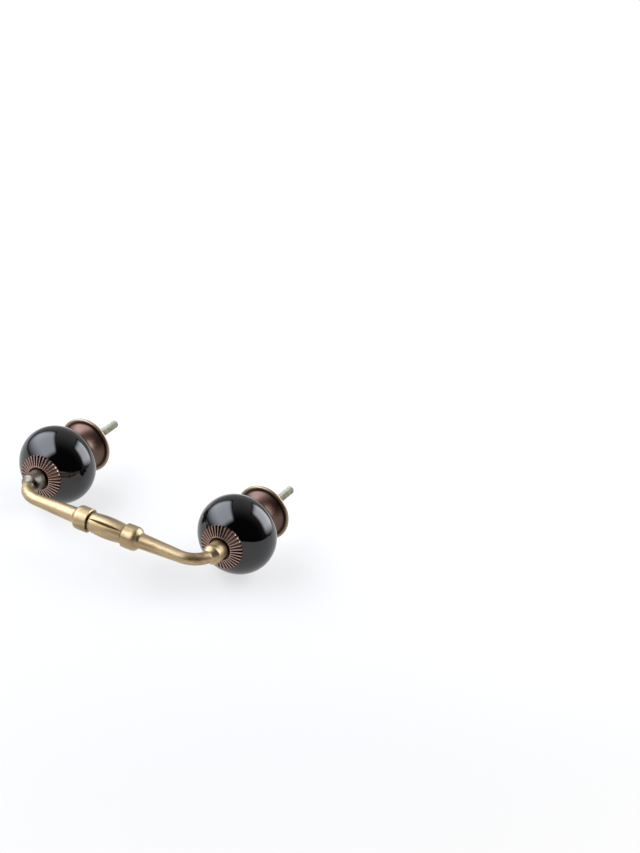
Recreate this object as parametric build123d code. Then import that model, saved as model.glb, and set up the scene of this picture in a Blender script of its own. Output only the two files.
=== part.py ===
from build123d import *
from math import cos, radians, sqrt, tan
import os

# Bridge handle: a cast bar carried on two glazed balls, in millimetres.
# x runs along the bar, y into the cabinet and z up. The origin lies midway between
# the two studs, on the plane where the base cups meet the cabinet.

# Hole pattern and studs
hole_spacing = 101.6         # centre to centre
thread_diameter = 4.0        # rolled thread
thread_pitch = 0.7
pitch_depth = 0.6495         # pitch diameter lies this share of the pitch inside the thread diameter
stud_projection = 27.0       # past the mounting plane
stud_engagement = 6.5        # screwed into the boss
stud_tip_chamfer = 0.5
thread_run_out = 0.3         # step behind the nut where the free end starts
shank_clearance = 0.25       # around the stud in rosette, ball and base
drill_clearance = 0.6        # past the stud's end in the boss

# Base cup, a hollow spun trumpet with a curled rim
base_height = 10.5           # mounting plane to the ball's seat
base_sheet = 0.8
base_diameter = 28.1         # over the curled rim
base_neck_diameter = 16.4
base_neck_round = 0.8
base_flare_diameter = 23.4   # where the trumpet runs into the flange
base_flare_sag = 1.1         # hollow of the trumpet below a straight cone
rim_bead_diameter = 1.6
rim_flat_width = 1.1         # ring that bears on the cabinet
flange_standoff = 0.35       # flange stays this far off the cabinet

# Lock nut inside the base cup
nut_sides = 6
nut_across_flats = 7.0
nut_height = 3.2
nut_chamfer_angle = 30.0     # off the end faces

# Glazed ball, an oblate spheroid with ground seats
ball_diameter = 39.4
ball_depth = 32.3            # over the full spheroid
ball_back_seat_diameter = 16.0
ball_front_seat_diameter = 12.0

# Rosette, a pressed cup washer with radial flutes
rosette_diameter = 22.1
rosette_sheet = 0.5          # floor under the boss
skirt_thickness = 0.95       # over the flutes
rosette_gap = 0.05           # between the skirt and the ball
ring_bead_diameter = 1.1     # smooth ring around the boss
ring_clearance = 0.35        # around the boss
ring_rise = 0.75             # bead centre above the ball's seat
flute_count = 36
flute_angle = 116.0
flute_start_depth = 0.27     # beside the ring
flute_edge_depth = 0.52      # at the outer edge

# Grip bar, one casting
boss_diameter = 9.6
boss_length = 8.4
boss_front_round = 0.6
boss_back_chamfer = 0.3
bend_radius = 11.0           # on the rod's centre line
bend_sink = 1.7              # the bend starts this far inside the boss
bend_rod_diameter = 5.9
arm_diameter = 7.6           # at the collar
shoulder_length = 4.4        # ogee from the collar down to the arm
shoulder_crest = 0.7         # share of its length that pulls along the collar
shoulder_toe = 0.5           # share of its length that pulls along the arm
collar_diameter = 11.8
collar_width = 5.0
collar_chamfer = 0.35
barrel_length = 19.3         # between the collar faces
barrel_diameter = 10.7
barrel_end_diameter = 9.2
barrel_neck_width = 0.6
barrel_neck_diameter = 8.7
lobe_count = 4
groove_root_diameter = 8.9   # bottom of the V grooves between the lobes
groove_angle = 84.0

# Derived radii
major_radius = thread_diameter / 2
pitch_radius = (thread_diameter - pitch_depth * thread_pitch) / 2
shank_hole_radius = major_radius + shank_clearance
ball_radius = ball_diameter / 2
ball_half_depth = ball_depth / 2
half_spacing = hole_spacing / 2


def spheroid_reach(radius):
    """Distance from the ball's centre to its surface, along the stud, at a radius."""
    return ball_half_depth * sqrt(1 - (radius / ball_radius) ** 2)


def tan_half(angle):
    """Half width over depth of a V of this full angle."""
    return tan(radians(angle / 2))


# Stations along the stud, from the mounting plane to the bar
nut_front = -base_height + base_sheet
nut_back = nut_front + nut_height
ball_back = -base_height
ball_centre = ball_back - spheroid_reach(ball_back_seat_diameter / 2)
ball_front = ball_centre - spheroid_reach(ball_front_seat_diameter / 2)
boss_back = ball_front - rosette_sheet
boss_front = boss_back - boss_length
bend_end = boss_front + bend_sink
bar_axis = bend_end - bend_radius


def make_stud():
    """Threaded rod: the engaged length at the pitch diameter, the free end at full diameter."""
    start = boss_back - stud_engagement
    free_start = nut_back + thread_run_out
    outline = Polyline(
        (0, start),
        (pitch_radius, start),
        (pitch_radius, nut_back),
        (major_radius, free_start),
        (major_radius, stud_projection - stud_tip_chamfer),
        (major_radius - stud_tip_chamfer, stud_projection),
        (0, stud_projection),
        close=True,
    )
    return revolve(make_face(outline), Axis.Y)


def make_lock_nut():
    """Hexagon nut with both ends chamfered, bearing on the inside of the base cup."""
    flat_radius = nut_across_flats / 2
    hexagon = RegularPolygon(flat_radius, nut_sides, major_radius=False)
    blank = extrude(Plane.XZ.offset(-nut_front) * hexagon, -nut_height)
    corner_radius = flat_radius / cos(radians(180 / nut_sides))
    chamfer_height = (corner_radius - flat_radius) * tan(radians(nut_chamfer_angle))
    envelope = Polyline(
        (0, nut_front),
        (flat_radius, nut_front),
        (corner_radius, nut_front + chamfer_height),
        (corner_radius, nut_back - chamfer_height),
        (flat_radius, nut_back),
        (0, nut_back),
        close=True,
    )
    bore = Pos(0, (nut_front + nut_back) / 2, 0) * Rot(90, 0, 0) * Cylinder(pitch_radius, nut_height)
    return (blank & revolve(make_face(envelope), Axis.Y)) - bore


def make_base():
    """Trumpet cup: flat front disc, hollow flare, flange and curled rim."""
    neck_radius = base_neck_diameter / 2
    flare_radius = base_flare_diameter / 2
    bead_radius = rim_bead_diameter / 2
    bead_middle = base_diameter / 2 - bead_radius
    bead_back = -sqrt(bead_radius**2 - (rim_flat_width / 2) ** 2)
    flange_back = -flange_standoff
    flange_front = flange_back - base_sheet

    neck_end = Vector(neck_radius, -base_height + base_neck_round)
    flare_end = Vector(flare_radius, flange_front)
    chord = (flare_end - neck_end).normalized()
    inward = Vector(-chord.Y, chord.X)
    middle = (neck_end + flare_end) / 2 + inward * base_flare_sag

    inner_neck = neck_end + inward * base_sheet
    inner_end = flare_end + inward * base_sheet
    inner_middle = middle + inward * base_sheet
    disc_back = -base_height + base_sheet
    front_corner = (neck_radius - base_neck_round, -base_height)
    outline = [
        Line((shank_hole_radius, -base_height), front_corner),
        RadiusArc(front_corner, neck_end, -base_neck_round),
        ThreePointArc(neck_end, middle, flare_end),
        Polyline(flare_end, (bead_middle, flange_front), (bead_middle, flange_back), inner_end),
        ThreePointArc(inner_end, inner_middle, inner_neck),
        Polyline(
            inner_neck,
            (inner_neck.X, disc_back),
            (shank_hole_radius, disc_back),
            (shank_hole_radius, -base_height),
        ),
    ]
    curl = Pos(bead_middle, bead_back) * Circle(bead_radius)
    behind = Pos(bead_middle, bead_radius) * Rectangle(4 * bead_radius, 2 * bead_radius)
    section = make_face(outline) + curl - behind
    return revolve(section, Axis.Y)


def make_ball():
    """Oblate ball with a through hole and a flat seat at each end."""
    full = Pos(0, ball_centre) * Ellipse(ball_radius, ball_half_depth)
    width = ball_radius - shank_hole_radius
    window = Pos(shank_hole_radius + width / 2, (ball_front + ball_back) / 2)
    section = full & (window * Rectangle(width, ball_back - ball_front))
    return revolve(section, Axis.Y)


def make_rosette():
    """Cup washer: flat floor under the boss, smooth ring, fluted skirt over the ball."""
    outer_radius = rosette_diameter / 2
    bead_radius = ring_bead_diameter / 2
    ring_radius = boss_diameter / 2 + ring_clearance + bead_radius
    ring_foot = ring_radius + bead_radius

    # The skirt is a cone that lies on the ball at its middle radius
    touch = (ring_radius + outer_radius) / 2
    fall = ball_half_depth / ball_radius * touch / sqrt(ball_radius**2 - touch**2)
    steep = sqrt(1 + fall**2)
    touch_back = ball_centre - spheroid_reach(touch) - rosette_gap * steep
    touch_front = touch_back - skirt_thickness * steep

    def back_point(radius):
        return Vector(radius, touch_back + fall * (radius - touch))

    def front_point(radius, depth=0.0):
        return Vector(radius, touch_front + fall * (radius - touch) + depth * steep)

    floor_width = ring_radius - shank_hole_radius
    floor = Pos(shank_hole_radius + floor_width / 2, (ball_front + boss_back) / 2)
    bead = Pos(ring_radius, ball_front - ring_rise) * Circle(bead_radius)
    skirt = make_face(
        Polyline(
            back_point(ring_radius),
            back_point(outer_radius),
            front_point(outer_radius),
            front_point(ring_radius),
            close=True,
        )
    )
    washer = revolve(floor * Rectangle(floor_width, rosette_sheet) + bead + skirt, Axis.Y)

    # One V groove that deepens towards the edge, then the full ring of them
    root_start = front_point(ring_foot, flute_start_depth)
    root_end = front_point(outer_radius, flute_edge_depth)
    root = root_end - root_start
    overrun = skirt_thickness / root.length
    height = 2 * flute_edge_depth
    spread = height * tan_half(flute_angle)
    vee = make_face(Polyline((0, 0), (height, spread), (height, -spread), close=True))
    across = Plane(root_start, x_dir=(root.Y, -root.X, 0), z_dir=root)
    cutter = extrude(across * vee, root.length * (1 + overrun))
    return washer - [Rot(0, turn * 360 / flute_count, 0) * cutter for turn in range(flute_count)]


def make_shaft():
    """Straight part of the bar: lobed barrel, two collars and the tapered arms."""
    barrel_end = barrel_length / 2 - barrel_neck_width
    collar_face = barrel_length / 2
    collar_end = collar_face + collar_width
    arm_start = collar_end + shoulder_length
    bend_start = half_spacing - bend_radius
    collar_radius = collar_diameter / 2
    arm_radius = arm_diameter / 2

    crown = ThreePointArc(
        (-barrel_end, barrel_end_diameter / 2),
        (0, barrel_diameter / 2),
        (barrel_end, barrel_end_diameter / 2),
    )
    step = Polyline(
        (barrel_end, barrel_end_diameter / 2),
        (barrel_end, barrel_neck_diameter / 2),
        (collar_face, barrel_neck_diameter / 2),
        (collar_face, collar_radius - collar_chamfer),
        (collar_face + collar_chamfer, collar_radius),
        (collar_end, collar_radius),
    )
    shoulder = Bezier(
        (collar_end, collar_radius),
        (collar_end + shoulder_crest * shoulder_length, collar_radius),
        (arm_start - shoulder_toe * shoulder_length, arm_radius),
        (arm_start, arm_radius),
    )
    arm = Polyline((arm_start, arm_radius), (bend_start, bend_rod_diameter / 2), (bend_start, 0))
    half = step.edges() + shoulder.edges() + arm.edges()
    other = [edge.mirror(Plane.YZ) for edge in half]
    axis_line = Line((-bend_start, 0), (bend_start, 0))
    section = make_face(crown.edges() + half + other + axis_line.edges())
    shaft = revolve(section, Axis.X)

    # V grooves at one depth all along, so they open out where the barrel swells
    root = groove_root_diameter / 2
    reach = barrel_diameter - root
    spread = (reach - root) * tan_half(groove_angle)
    vee = make_face(Polyline((0, root), (spread, reach), (-spread, reach), close=True))
    cutter = extrude(Plane.YZ * vee, barrel_end, both=True)
    turns = [360 / lobe_count * (turn + 0.5) for turn in range(lobe_count)]
    return shaft - [Rot(turn, 0, 0) * cutter for turn in turns]


def make_grip_bar():
    """The whole casting: shaft, two bends and two drilled bosses."""
    bar = Pos(0, bar_axis, 0) * make_shaft()
    hole_depth = stud_engagement + drill_clearance
    for side in (-1, 1):
        centre = (side * (half_spacing - bend_radius), bend_end, 0)
        rod = Pos(centre[0], bar_axis, 0) * (Plane.YZ * Circle(bend_rod_diameter / 2))
        bar += revolve(rod, Axis(centre, (0, 0, 1)), side * 90)
        boss = Rot(90, 0, 0) * Cylinder(boss_diameter / 2, boss_length)
        rims = boss.edges().filter_by(GeomType.CIRCLE).sort_by(Axis.Y)
        boss = fillet(rims[0], boss_front_round)
        boss = chamfer(boss.edges().filter_by(GeomType.CIRCLE).sort_by(Axis.Y)[-1], boss_back_chamfer)
        bar += Pos(side * half_spacing, (boss_back + boss_front) / 2, 0) * boss
    for side in (-1, 1):
        hole = Rot(90, 0, 0) * Cylinder(pitch_radius, hole_depth)
        bar -= Pos(side * half_spacing, boss_back - hole_depth / 2, 0) * hole
    return bar


nodes = {"grip_bar": make_grip_bar()}
knob_makers = {
    "rosette": make_rosette,
    "ball": make_ball,
    "base": make_base,
    "stud": make_stud,
    "lock_nut": make_lock_nut,
}
for piece, maker in knob_makers.items():
    solid = maker()
    nodes["left_" + piece] = Pos(-half_spacing, 0, 0) * solid
    nodes["right_" + piece] = Pos(half_spacing, 0, 0) * solid

os.makedirs("parts", exist_ok=True)
for name, solid in nodes.items():
    export_step(solid, f"parts/{name}.step")
    print(name, round(solid.volume, 1), solid.is_valid)
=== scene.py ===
import bpy
import math
from mathutils import Matrix, Quaternion, Vector
from mathutils.geometry import interpolate_bezier


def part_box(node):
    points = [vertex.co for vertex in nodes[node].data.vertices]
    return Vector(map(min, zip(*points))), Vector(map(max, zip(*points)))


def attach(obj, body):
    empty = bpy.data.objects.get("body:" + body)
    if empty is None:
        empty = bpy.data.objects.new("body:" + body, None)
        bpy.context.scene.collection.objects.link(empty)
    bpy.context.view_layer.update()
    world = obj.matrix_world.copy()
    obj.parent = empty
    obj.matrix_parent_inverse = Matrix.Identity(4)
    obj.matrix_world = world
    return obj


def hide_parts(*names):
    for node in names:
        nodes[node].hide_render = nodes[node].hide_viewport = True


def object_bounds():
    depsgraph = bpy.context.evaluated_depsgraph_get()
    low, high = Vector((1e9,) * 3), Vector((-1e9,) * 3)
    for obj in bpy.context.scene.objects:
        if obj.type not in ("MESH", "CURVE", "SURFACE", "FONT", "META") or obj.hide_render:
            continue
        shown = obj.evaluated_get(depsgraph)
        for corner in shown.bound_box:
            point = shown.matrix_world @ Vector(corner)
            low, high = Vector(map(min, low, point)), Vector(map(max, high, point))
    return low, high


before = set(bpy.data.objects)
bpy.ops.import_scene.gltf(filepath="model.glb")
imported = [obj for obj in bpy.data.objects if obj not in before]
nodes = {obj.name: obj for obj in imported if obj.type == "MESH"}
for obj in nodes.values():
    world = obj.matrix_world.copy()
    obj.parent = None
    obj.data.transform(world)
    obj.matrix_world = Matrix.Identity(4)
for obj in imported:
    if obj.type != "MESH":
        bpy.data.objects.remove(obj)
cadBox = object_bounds()
scene = bpy.context.scene
scene.view_settings.view_transform = "Standard"
print("frame loaded:", len(nodes), "nodes")


# small tools

smooth = dict(interpolation_type="SMOOTHSTEP")  # settings of a soft range
colourMix = dict(data_type="RGBA", output=2)  # settings of a colour mix: inputs 6 and 7, output 2


def linearColour(hexCode):
    channels = [int(hexCode[i:i + 2], 16) / 255 for i in (1, 3, 5)]
    bent = [c / 12.92 if c <= 0.04045 else ((c + 0.055) / 1.055) ** 2.4 for c in channels]
    return (*bent, 1.0)


def addNode(tree, kind, inputs=None, output=0, **settings):
    # gives back one output of the new node, or the node itself where output is None
    node = tree.nodes.new(kind)
    for name, value in settings.items():
        setattr(node, name, value)
    for name, value in (inputs or {}).items():
        if isinstance(value, bpy.types.NodeSocket):
            tree.links.new(value, node.inputs[name])
        else:
            node.inputs[name].default_value = value
    return node if output is None else node.outputs[output]


def newMaterial(name):
    material = bpy.data.materials.new(name)
    material.use_nodes = True
    material.node_tree.nodes.clear()
    return material, material.node_tree


def newMesh(name, points, faces, material):
    mesh = bpy.data.meshes.new(name)
    mesh.from_pydata(points, [], faces)
    mesh.update()
    mesh.materials.append(material)
    piece = bpy.data.objects.new(name, mesh)
    scene.collection.objects.link(piece)
    return piece


def spunMesh(name, rows, material, sharpAngle, bored):
    # rows of points round an axis along y
    # a bored piece joins its last row to its first, and a solid one is capped
    around = len(rows[0])
    points = [point for row in rows for point in row]
    faces = []
    for i in range(len(rows) if bored else len(rows) - 1):
        here = i * around
        there = (i + 1) % len(rows) * around
        for j in range(around):
            k = (j + 1) % around
            faces.append((here + j, there + j, there + k, here + k))
    if not bored:
        faces.append(tuple(range(around)))
        faces.append(tuple(reversed(range(len(points) - around, len(points)))))
    piece = newMesh(name, points, faces, material)
    piece.data.shade_smooth()
    piece.data.set_sharp_from_angle(angle=math.radians(sharpAngle))
    return piece


def ringAngles(around):
    return [2 * math.pi * j / around for j in range(around)]


def standIn(piece, nodeName):
    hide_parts(nodeName)
    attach(piece, "root")


studBoxes = {side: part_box(side + "_stud") for side in ("left", "right")}
studAxis = {side: (low.x + high.x) / 2 for side, (low, high) in studBoxes.items()}


# materials

def makeBrass():
    # cast brass, brushed along the bar, browned and lacquered: pale satin highlights, painted shade
    # darkening the corners
    look = dict(
        ground="#A08A62", dark="#544229",
        marks=(
            # brush marks, drawn wider than the real ones so that they show
            dict(colour="#BBA580", size=(0.03, 0.0016, 0.0016), detail=3.0, low=0.32, high=0.6, most=1.0),
            # clouds of browning, drawn out along the bar
            dict(colour="#7A5F38", size=(0.012, 0.004, 0.004), detail=2.0, low=0.48, high=0.72, most=0.55),
        ),
        # painted dark reflections on the left boss, a grey one over the boss and a near-black one in the
        # corner of the bend, placed from the rosette's front: full within near, none past far
        paintedReflections=(
            dict(colour="#746E63", offset=(0, -0.002, 0.003), near=0.0066, far=0.0102),
            dict(colour="#1F1B17", offset=(0.0044, -0.0078, 0.0016), near=0.001, far=0.0032),
        ),
        cavity=0.003, cornerRays=8, cornerLow=0.38, cornerHigh=0.95,
        grain=0.0006, grainDetail=2.0, grainLow=0.3, grainHigh=0.7, roughLow=0.4, roughHigh=0.5,
        bump=0.02, bumpDepth=0.00004, lacquer=0.3, lacquerRough=0.32,
    )
    material, tree = newMaterial("castBrassBrushedBrowned")
    place = addNode(tree, "ShaderNodeTexCoord", output="Object")
    tone = linearColour(look["ground"])
    for mark in look["marks"]:
        scale = [1 / size for size in mark["size"]]
        stretched = addNode(tree, "ShaderNodeMapping", {"Vector": place, "Scale": scale})
        patch = addNode(
            tree, "ShaderNodeTexNoise", {"Vector": stretched, "Scale": 1.0, "Detail": mark["detail"]},
        )
        share = addNode(
            tree, "ShaderNodeMapRange",
            {"Value": patch, "From Min": mark["low"], "From Max": mark["high"], "To Max": mark["most"]},
            **smooth,
        )
        marked = linearColour(mark["colour"])
        tone = addNode(tree, "ShaderNodeMix", {0: share, 6: tone, 7: marked}, **colourMix)
    face = Vector((studAxis["left"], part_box("left_rosette")[0].y, 0))
    # painted reflection: dark tones mixed into the colour round the left boss stand in for dark
    # surroundings mirrored there
    for paintedReflection in look["paintedReflections"]:
        centre = face + Vector(paintedReflection["offset"])
        away = addNode(
            tree, "ShaderNodeVectorMath", {0: place, 1: centre}, output="Value", operation="DISTANCE",
        )
        share = addNode(
            tree, "ShaderNodeMapRange",
            {"Value": away, "From Min": paintedReflection["far"], "From Max": paintedReflection["near"]}, **smooth,
        )
        reflectedDark = linearColour(paintedReflection["colour"])
        tone = addNode(tree, "ShaderNodeMix", {0: share, 6: tone, 7: reflectedDark}, **colourMix)
    # painted shade: the colour darkens towards the dark tone where ambient occlusion finds corners and
    # creases
    cornerShade = addNode(
        tree, "ShaderNodeAmbientOcclusion", {"Distance": look["cavity"]}, output="AO",
        samples=look["cornerRays"],
    )
    share = addNode(
        tree, "ShaderNodeMapRange",
        {"Value": cornerShade, "From Min": look["cornerLow"], "From Max": look["cornerHigh"]}, **smooth,
    )
    dark = linearColour(look["dark"])
    colour = addNode(tree, "ShaderNodeMix", {0: share, 6: dark, 7: tone}, **colourMix)
    grain = addNode(
        tree, "ShaderNodeTexNoise",
        {"Vector": place, "Scale": 1 / look["grain"], "Detail": look["grainDetail"]},
    )
    rough = addNode(
        tree, "ShaderNodeMapRange",
        {
            "Value": grain, "From Min": look["grainLow"], "From Max": look["grainHigh"],
            "To Min": look["roughLow"], "To Max": look["roughHigh"],
        }, **smooth,
    )
    bump = addNode(
        tree, "ShaderNodeBump",
        {"Height": grain, "Strength": look["bump"], "Distance": look["bumpDepth"]},
    )
    shader = addNode(
        tree, "ShaderNodeBsdfPrincipled",
        {
            "Base Color": colour, "Metallic": 1.0, "Roughness": rough, "Normal": bump,
            "Coat Weight": look["lacquer"], "Coat Roughness": look["lacquerRough"],
        },
    )
    addNode(tree, "ShaderNodeOutputMaterial", {"Surface": shader}, output=None)
    return material


def makeGlaze():
    # fired black glaze on porcelain: deep black, mirror gloss with a slight pull in the reflections
    look = dict(
        colour="#030304", rough=0.07, ior=1.58, pull=0.009, pullDetail=1.0, bump=0.05, bumpDepth=0.0005,
    )
    material, tree = newMaterial("porcelainBlackGlazeFired")
    place = addNode(tree, "ShaderNodeTexCoord", output="Object")
    wave = addNode(
        tree, "ShaderNodeTexNoise",
        {"Vector": place, "Scale": 1 / look["pull"], "Detail": look["pullDetail"]},
    )
    bump = addNode(
        tree, "ShaderNodeBump",
        {"Height": wave, "Strength": look["bump"], "Distance": look["bumpDepth"]},
    )
    shader = addNode(
        tree, "ShaderNodeBsdfPrincipled",
        {
            "Base Color": linearColour(look["colour"]), "Roughness": look["rough"],
            "IOR": look["ior"], "Normal": bump,
        },
    )
    addNode(tree, "ShaderNodeOutputMaterial", {"Surface": shader}, output=None)
    return material


def makeBaseCopper():
    # spun sheet, copper plated, browned and lacquered: dark red-brown sheen, painted shade in the corners
    # and on the flange before the lip, a lighter golden lip at the rim
    look = dict(
        sheen="#674D41", dark="#2E1E18", flangeShade="#402B1F", lip="#A18A71",
        cavity=0.003, cornerRays=8, cornerLow=0.4, cornerHigh=0.95,
        flangeShadeStart=0.0112, lipStart=0.0125, blend=0.0003,
        blotch=0.006, blotchDetail=4.0, blotchLow=0.3, blotchHigh=0.7, roughLow=0.4, roughHigh=0.5,
        lacquer=0.4, lacquerRough=0.32,
    )
    material, tree = newMaterial("spunCopperPlatedBrowned")
    place = addNode(tree, "ShaderNodeTexCoord", output="Object")
    # painted shade: the colour darkens towards the dark tone where ambient occlusion finds corners
    cornerShade = addNode(
        tree, "ShaderNodeAmbientOcclusion", {"Distance": look["cavity"]}, output="AO",
        samples=look["cornerRays"],
    )
    share = addNode(
        tree, "ShaderNodeMapRange",
        {"Value": cornerShade, "From Min": look["cornerLow"], "From Max": look["cornerHigh"]}, **smooth,
    )
    dark, sheen = linearColour(look["dark"]), linearColour(look["sheen"])
    colour = addNode(tree, "ShaderNodeMix", {0: share, 6: dark, 7: sheen}, **colourMix)
    # the radius from the nearer stud's axis finds the flange and the lip
    parts = addNode(tree, "ShaderNodeSeparateXYZ", {"Vector": place}, output=None).outputs
    beside = addNode(tree, "ShaderNodeMath", {0: parts["X"]}, operation="ABSOLUTE")
    across = addNode(tree, "ShaderNodeMath", {0: beside, 1: studAxis["right"]}, operation="SUBTRACT")
    flat = addNode(tree, "ShaderNodeCombineXYZ", {"X": across, "Z": parts["Z"]})
    radius = addNode(tree, "ShaderNodeVectorMath", {0: flat}, output="Value", operation="LENGTH")
    # painted shade: the flange between the trumpet and the lip is painted dark as the shade of its groove;
    # the lip is painted a lighter golden tone
    for zone in ("flangeShade", "lip"):
        start = look[zone + "Start"]
        share = addNode(
            tree, "ShaderNodeMapRange",
            {"Value": radius, "From Min": start, "From Max": start + look["blend"]}, **smooth,
        )
        colour = addNode(
            tree, "ShaderNodeMix", {0: share, 6: colour, 7: linearColour(look[zone])}, **colourMix,
        )
    blotch = addNode(
        tree, "ShaderNodeTexNoise",
        {"Vector": place, "Scale": 1 / look["blotch"], "Detail": look["blotchDetail"]},
    )
    rough = addNode(
        tree, "ShaderNodeMapRange",
        {
            "Value": blotch, "From Min": look["blotchLow"], "From Max": look["blotchHigh"],
            "To Min": look["roughLow"], "To Max": look["roughHigh"],
        }, **smooth,
    )
    shader = addNode(
        tree, "ShaderNodeBsdfPrincipled",
        {
            "Base Color": colour, "Metallic": 1.0, "Roughness": rough,
            "Coat Weight": look["lacquer"], "Coat Roughness": look["lacquerRough"],
        },
    )
    addNode(tree, "ShaderNodeOutputMaterial", {"Surface": shader}, output=None)
    return material


def makeRosetteCopper():
    # pressed sheet, copper plated and browned: painted highlight on the crests in pale pink-grey, painted
    # shade in the near-black valleys
    look = dict(
        crest="#BA9F92", slope="#4B372F", valley="#1A100E", crestEnd=0.06, valleyLow=0.15, valleyHigh=0.7,
        blotch=0.003, blotchDetail=4.0, blotchLow=0.3, blotchHigh=0.7, roughLow=0.2, roughHigh=0.32,
    )
    material, tree = newMaterial("pressedCopperPlatedRibLightPainted")
    place = addNode(tree, "ShaderNodeTexCoord", output="Object")
    # painted light by depth below each rib's crest: slope to near-black valley as painted shade, crest
    # colour as painted highlight
    depth = addNode(tree, "ShaderNodeAttribute", output="Fac", attribute_name="valley")
    share = addNode(
        tree, "ShaderNodeMapRange",
        {"Value": depth, "From Min": look["valleyLow"], "From Max": look["valleyHigh"]}, **smooth,
    )
    slope, valley = linearColour(look["slope"]), linearColour(look["valley"])
    colour = addNode(tree, "ShaderNodeMix", {0: share, 6: slope, 7: valley}, **colourMix)
    share = addNode(
        tree, "ShaderNodeMapRange",
        {"Value": depth, "From Min": look["crestEnd"], "From Max": 0.0}, **smooth,
    )
    crest = linearColour(look["crest"])
    colour = addNode(tree, "ShaderNodeMix", {0: share, 6: colour, 7: crest}, **colourMix)
    blotch = addNode(
        tree, "ShaderNodeTexNoise",
        {"Vector": place, "Scale": 1 / look["blotch"], "Detail": look["blotchDetail"]},
    )
    rough = addNode(
        tree, "ShaderNodeMapRange",
        {
            "Value": blotch, "From Min": look["blotchLow"], "From Max": look["blotchHigh"],
            "To Min": look["roughLow"], "To Max": look["roughHigh"],
        }, **smooth,
    )
    shader = addNode(
        tree, "ShaderNodeBsdfPrincipled", {"Base Color": colour, "Metallic": 1.0, "Roughness": rough},
    )
    addNode(tree, "ShaderNodeOutputMaterial", {"Surface": shader}, output=None)
    return material


def makeZinc():
    # rolled steel, zinc plated and passivated: pale satin metal, faintly green
    look = dict(
        light="#C5C4B3", dark="#B1B09F", rough=0.75,
        blotch=0.002, blotchDetail=3.0, blotchLow=0.35, blotchHigh=0.65,
    )
    material, tree = newMaterial("rolledSteelZincPlated")
    place = addNode(tree, "ShaderNodeTexCoord", output="Object")
    blotch = addNode(
        tree, "ShaderNodeTexNoise",
        {"Vector": place, "Scale": 1 / look["blotch"], "Detail": look["blotchDetail"]},
    )
    share = addNode(
        tree, "ShaderNodeMapRange",
        {"Value": blotch, "From Min": look["blotchLow"], "From Max": look["blotchHigh"]}, **smooth,
    )
    dark, light = linearColour(look["dark"]), linearColour(look["light"])
    colour = addNode(tree, "ShaderNodeMix", {0: share, 6: dark, 7: light}, **colourMix)
    shader = addNode(
        tree, "ShaderNodeBsdfPrincipled",
        {"Base Color": colour, "Metallic": 1.0, "Roughness": look["rough"]},
    )
    addNode(tree, "ShaderNodeOutputMaterial", {"Surface": shader}, output=None)
    return material


brass = makeBrass()
glaze = makeGlaze()
baseCopper = makeBaseCopper()
rosetteCopper = makeRosetteCopper()
zinc = makeZinc()
print("materials made")


# pieces that keep their CAD meshes

finishes = dict(
    grip_bar=brass, left_base=baseCopper, right_base=baseCopper, left_lock_nut=zinc, right_lock_nut=zinc,
)
for nodeName, finish in finishes.items():
    nodes[nodeName].data.materials.clear()
    nodes[nodeName].data.materials.append(finish)
print("bar, bases and lock nuts painted")


# cast fillets, over which the bends run into the bosses

rosetteSheet = 0.0005  # between the boss and the ball


def makeFillet(side):
    cast = dict(
        boss=0.0048, bossLength=0.0084, frontRound=0.0006, roundAngle=65,
        bendRadius=0.011, bendSink=0.0017, rod=0.00295,
        reach=0.0024, pull=0.0012, depth=0.0012, rows=14, around=96, sharpAngle=60,
    )
    sign = math.copysign(1, studAxis[side])
    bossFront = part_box(side + "_ball")[0].y - rosetteSheet - cast["bossLength"]
    bossCentre = Vector((studAxis[side], bossFront, 0))
    bendCentre = bossCentre + Vector((-sign * cast["bendRadius"], cast["bendSink"], 0))
    edgeTurn = math.radians(cast["roundAngle"])  # the fillet leaves the boss this far round its front edge
    rimRadius = cast["boss"] - cast["frontRound"] * (1 - math.sin(edgeTurn))
    rimBack = Vector((0, cast["frontRound"] * (1 - math.cos(edgeTurn)), 0))
    sunk = Vector((0, cast["depth"], 0))
    columns = []
    for angle in ringAngles(cast["around"]):
        outward = sign * math.cos(angle)
        path = cast["bendRadius"] + cast["rod"] * outward
        turn = math.asin(cast["bendSink"] / path) + cast["reach"] / path
        radial = Vector((sign * math.cos(turn), -math.sin(turn), 0))
        rodCentre = bendCentre + radial * cast["bendRadius"]
        rodSpoke = radial * outward + Vector((0, 0, math.sin(angle)))
        bossSpoke = Vector((math.cos(angle), 0, math.sin(angle)))
        onRod = rodCentre + rodSpoke * cast["rod"]
        onBoss = bossCentre + rimBack + bossSpoke * rimRadius
        towardBoss = Vector((sign * math.sin(turn), math.cos(turn), 0)) * cast["pull"]
        towardRod = (bossSpoke * -math.cos(edgeTurn) - Vector((0, math.sin(edgeTurn), 0))) * cast["pull"]
        column = interpolate_bezier(onRod, onRod + towardBoss, onBoss + towardRod, onBoss, cast["rows"])
        # closed inside the metal of the boss and the rod
        column.append(bossCentre + bossSpoke * (cast["boss"] - cast["depth"]) + sunk)
        column.append(rodCentre + rodSpoke * (cast["rod"] - cast["depth"]))
        columns.append(column)
    return spunMesh(side + "CastFillet", list(zip(*columns)), brass, cast["sharpAngle"], bored=True)


for side in studAxis:
    fillet = makeFillet(side)
    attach(fillet, "root")
print("fillets cast")


# studs with their rolled thread

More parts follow.
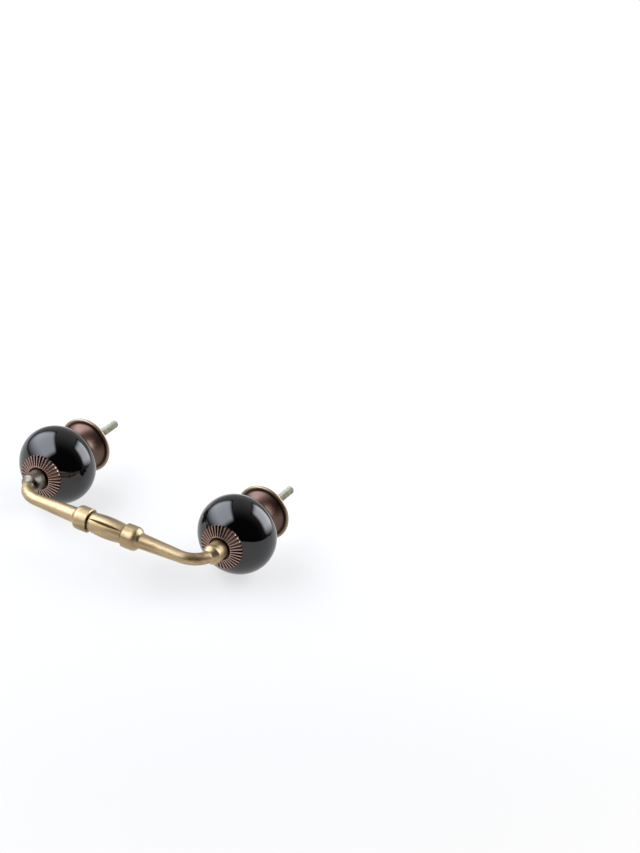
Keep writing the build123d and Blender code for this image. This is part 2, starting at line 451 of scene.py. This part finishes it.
def makeStud(side):
    thread = dict(
        pitch=0.0007, depth=0.00043, crest=0.15, flank=2.6, chamfer=0.0005,
        around=40, perPitch=8, sharpAngle=40,
    )
    low, high = studBoxes[side]
    major = (high.x - low.x) / 2
    length = high.y - low.y
    count = math.ceil(length / thread["pitch"] * thread["perPitch"])
    rows = []
    for i in range(count + 1):
        rise = length * i / count
        row = []
        for angle in ringAngles(thread["around"]):
            # share of one pitch, with the crest at its middle
            share = (rise / thread["pitch"] - angle / (2 * math.pi)) % 1
            sink = abs(share - 0.5) * thread["flank"] - thread["crest"]
            radius = major - thread["depth"] * max(0.0, min(1.0, sink))
            radius = min(radius, major - thread["chamfer"] + length - rise)
            row.append((studAxis[side] + radius * math.cos(angle), low.y + rise, radius * math.sin(angle)))
        rows.append(row)
    return spunMesh(side + "ThreadedStud", rows, zinc, thread["sharpAngle"], bored=False)


for side in studAxis:
    standIn(makeStud(side), side + "_stud")
print("studs threaded")


# balls, turned finely enough for clean reflections

ballDepth = 0.0323  # over the full spheroid


def makeBall(side):
    # hole and backSeat are radii
    ball = dict(hole=0.00225, backSeat=0.008, around=192, along=96, sharpAngle=30)
    low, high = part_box(side + "_ball")
    radius = (high.z - low.z) / 2
    half = ballDepth / 2
    centre = high.y - half * math.sqrt(1 - (ball["backSeat"] / radius) ** 2)
    start = math.asin((low.y - centre) / half)
    end = math.asin((high.y - centre) / half)
    section = [(ball["hole"], low.y)]
    for i in range(ball["along"] + 1):
        turn = start + (end - start) * i / ball["along"]
        section.append((radius * math.cos(turn), centre + half * math.sin(turn)))
    section.append((ball["hole"], high.y))
    rows = []
    for reach, y in section:
        angles = ringAngles(ball["around"])
        rows.append([(studAxis[side] + reach * math.cos(a), y, reach * math.sin(a)) for a in angles])
    return spunMesh(side + "GlazedBall", rows, glaze, ball["sharpAngle"], bored=True)


for side in studAxis:
    standIn(makeBall(side), side + "_ball")
print("balls turned")


# rosettes with round ribs

def makeRosette(side):
    rosette = dict(
        hole=0.00225, skirt=0.00095, boss=0.0048, clearance=0.00035,
        bead=0.00055, rise=0.00075, beadStart=205, beadStep=20, beadRows=9,
        # the ring's tone keeps it out of the painted crest highlight
        ringTone=0.2,  # the ring is browner than the ribs
        flutes=36, perFlute=16, startDepth=0.00032, edgeDepth=0.00056, rows=16, sharpAngle=50,
    )
    ballLow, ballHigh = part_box(side + "_ball")
    low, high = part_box(side + "_rosette")
    seat = ballLow.y
    floor = seat - rosetteSheet
    outer = (high.z - low.z) / 2
    bead = rosette["bead"]
    ring = rosette["boss"] + rosette["clearance"] + bead
    # straight fall of the skirt, from its back edge and the ball's slope at its middle
    ballRadius = (ballHigh.z - ballLow.z) / 2
    touch = (ring + outer) / 2
    fall = ballDepth / 2 / ballRadius * touch / math.sqrt(ballRadius ** 2 - touch ** 2)
    steep = math.sqrt(1 + fall ** 2)
    front = high.y - fall * (outer - touch) - rosette["skirt"] * steep

    # each row of the section: radius, y, depth of its valleys and its own tone
    section = [(rosette["hole"], floor, 0.0, rosette["ringTone"])]
    for i in range(rosette["beadRows"]):
        turn = math.radians(rosette["beadStart"] - rosette["beadStep"] * i)
        y = seat - rosette["rise"] - bead * math.sin(turn)
        if y <= floor:
            section.append((ring + bead * math.cos(turn), y, 0.0, rosette["ringTone"]))
    start = ring + bead / 2
    for i in range(rosette["rows"] + 1):
        share = i / rosette["rows"]
        radius = start + (outer - start) * share
        grow = min(1.0, (radius - start) / bead)
        sink = rosette["startDepth"] + (rosette["edgeDepth"] - rosette["startDepth"]) * share
        section.append((radius, front + fall * (radius - touch), sink * grow, 0.0))
    section.append((outer, high.y, 0.0, 0.0))
    section.append((ring, seat, 0.0, 0.0))
    section.append((rosette["hole"], seat, 0.0, 0.0))

    rows = []
    valley = []
    for radius, y, sink, tone in section:
        row = []
        for j, angle in enumerate(ringAngles(rosette["flutes"] * rosette["perFlute"])):
            share = (j % rosette["perFlute"]) / rosette["perFlute"]
            ridge = math.sqrt(1 - (1 - 2 * min(share, 1 - share)) ** 2)  # half round, 1 on the crest
            drop = sink * (1 - ridge)
            x = studAxis[side] + radius * math.cos(angle)
            row.append((x, y + drop * steep, radius * math.sin(angle)))
            # depth below the crest, which the material turns into painted highlight and painted shade
            valley.append(tone + drop / rosette["edgeDepth"])
        rows.append(row)
    piece = spunMesh(side + "RibbedRosette", rows, rosetteCopper, rosette["sharpAngle"], bored=True)
    depth = piece.data.attributes.new("valley", "FLOAT", "POINT")
    depth.data.foreach_set("value", valley)
    return piece


for side in studAxis:
    standIn(makeRosette(side), side + "_rosette")
print("rosettes pressed")


# stage: floor, softboxes, room and camera

def makeFloor():
    floor = dict(colour="#DCDCDC", half=8.0, near=0.12, far=0.38, lift=0.65)
    material, tree = newMaterial("paperWhiteSeamless")
    # shadows are kept near the part, plain white is shown further off
    place = addNode(tree, "ShaderNodeTexCoord", output="Object")
    away = addNode(tree, "ShaderNodeVectorMath", {0: place}, output="Value", operation="LENGTH")
    far = addNode(
        tree, "ShaderNodeMapRange",
        {"Value": away, "From Min": floor["near"], "From Max": floor["far"], "To Min": floor["lift"]},
        **smooth,
    )
    rays = addNode(tree, "ShaderNodeLightPath", output=None).outputs
    seen = rays["Is Camera Ray"]
    for kind in ("Is Glossy Ray", "Is Transmission Ray"):
        seen = addNode(tree, "ShaderNodeMath", {0: seen, 1: rays[kind]}, operation="ADD", use_clamp=True)
    share = addNode(tree, "ShaderNodeMath", {0: far, 1: seen}, operation="MULTIPLY")
    matte = addNode(tree, "ShaderNodeBsdfDiffuse", {"Color": linearColour(floor["colour"])})
    white = addNode(tree, "ShaderNodeEmission", {"Color": linearColour("#FFFFFF"), "Strength": 1.0})
    mixed = addNode(tree, "ShaderNodeMixShader", {0: share, 1: matte, 2: white})
    addNode(tree, "ShaderNodeOutputMaterial", {"Surface": mixed}, output=None)
    half = floor["half"]
    corners = [(-half, -half, 0), (half, -half, 0), (half, half, 0), (-half, half, 0)]
    piece = newMesh("floor", corners, [(0, 1, 2, 3)], material)
    piece.location = (0, 0, cadBox[0][2])


def headingVector(heading, elevation):
    # heading runs from +X towards +Y, both angles in degrees
    flat = math.cos(math.radians(elevation))
    turn = math.radians(heading)
    return Vector((flat * math.cos(turn), flat * math.sin(turn), math.sin(math.radians(elevation))))


def makeSoftbox(name, box):
    material, tree = newMaterial(name + "Diffuser")
    place = addNode(tree, "ShaderNodeTexCoord", output="Object")
    parts = addNode(tree, "ShaderNodeSeparateXYZ", {"Vector": place}, output=None).outputs
    inside = addNode(tree, "ShaderNodeNewGeometry", output="Backfacing")  # the side that faces the part
    strength = addNode(tree, "ShaderNodeMath", {0: inside, 1: box["radiance"]}, operation="MULTIPLY")
    for axis, low, high in (("X", "left", "right"), ("Y", "low", "high")):
        for edge, fade in ((-0.5, box[low]), (0.5, -box[high])):
            fall = addNode(
                tree, "ShaderNodeMapRange",
                {"Value": parts[axis], "From Min": edge, "From Max": edge + fade}, **smooth,
            )
            strength = addNode(tree, "ShaderNodeMath", {0: strength, 1: fall}, operation="MULTIPLY")
    glow = addNode(tree, "ShaderNodeEmission", {"Color": linearColour(box["colour"]), "Strength": strength})
    addNode(tree, "ShaderNodeOutputMaterial", {"Surface": glow}, output=None)
    corners = [(-0.5, -0.5, 0), (0.5, -0.5, 0), (0.5, 0.5, 0), (-0.5, 0.5, 0)]
    piece = newMesh(name, corners, [(0, 1, 2, 3)], material)
    facing = headingVector(box["heading"], box["elevation"]).to_track_quat("Z", "Y")
    turn = facing @ Quaternion((0, 0, 1), math.radians(box["tilt"]))
    size = Vector((box["width"], box["height"], 1.0))
    piece.matrix_world = Matrix.LocRotScale(Vector(box["centre"]), turn, size)
    piece.visible_camera = False


def makeRoom():
    # dim room: grey wall at the back, darker overhead and nearly black at the front
    room = dict(heading=115, low=0.012, high=0.5, start=-0.6, end=0.6)
    world = bpy.data.worlds.new("dimRoom")
    world.use_nodes = True
    tree = world.node_tree
    tree.nodes.clear()
    toward = addNode(tree, "ShaderNodeTexCoord", output="Generated")
    back = headingVector(room["heading"], 0)
    facing = addNode(
        tree, "ShaderNodeVectorMath", {0: toward, 1: back}, output="Value", operation="DOT_PRODUCT",
    )
    strength = addNode(
        tree, "ShaderNodeMapRange",
        {
            "Value": facing, "From Min": room["start"], "From Max": room["end"],
            "To Min": room["low"], "To Max": room["high"],
        }, **smooth,
    )
    glow = addNode(tree, "ShaderNodeBackground", {"Color": linearColour("#FFFFFF"), "Strength": strength})
    addNode(tree, "ShaderNodeOutputWorld", {"Surface": glow}, output=None)
    scene.world = world


def makeCamera():
    # focal and width in pixels of the picture, angles in degrees, the aim and the distance in metres
    view = dict(
        width=640, focal=2600, azimuth=25.2, elevation=29.12, roll=7.09,
        aim=(0.0618, 0.0279, 0.0391), distance=1.2472,
    )
    lens = bpy.data.cameras.new("camera")
    lens.sensor_fit = "HORIZONTAL"
    lens.lens = view["focal"] * lens.sensor_width / view["width"]
    camera = bpy.data.objects.new("camera", lens)
    scene.collection.objects.link(camera)
    outward = headingVector(view["azimuth"] - 90, view["elevation"])  # azimuth 0 looks along +Y
    turn = outward.to_track_quat("Z", "Y") @ Quaternion((0, 0, 1), math.radians(view["roll"]))
    place = Vector(view["aim"]) + outward * view["distance"]
    camera.matrix_world = Matrix.LocRotScale(place, turn, None)
    scene.camera = camera


# centre and size in metres, the way its back faces in degrees, and the share that fades at each edge
makeSoftbox("leftSoftbox", dict(
    centre=(-0.42, -0.2, 0.3), heading=203.8, elevation=35, tilt=0, width=1.15, height=0.8,
    colour="#EEF3FF", radiance=5.2, left=0.25, right=0.22, low=0.5, high=0.16,
))
makeSoftbox("rightSoftbox", dict(
    centre=(0.24, 0.25, 0.18), heading=37.5, elevation=27.9, tilt=-20, width=0.5, height=0.5,
    colour="#F4F7FF", radiance=6.0, left=0.25, right=0.25, low=0.35, high=0.25,
))
makeFloor()
makeRoom()
makeCamera()
print("stage set")
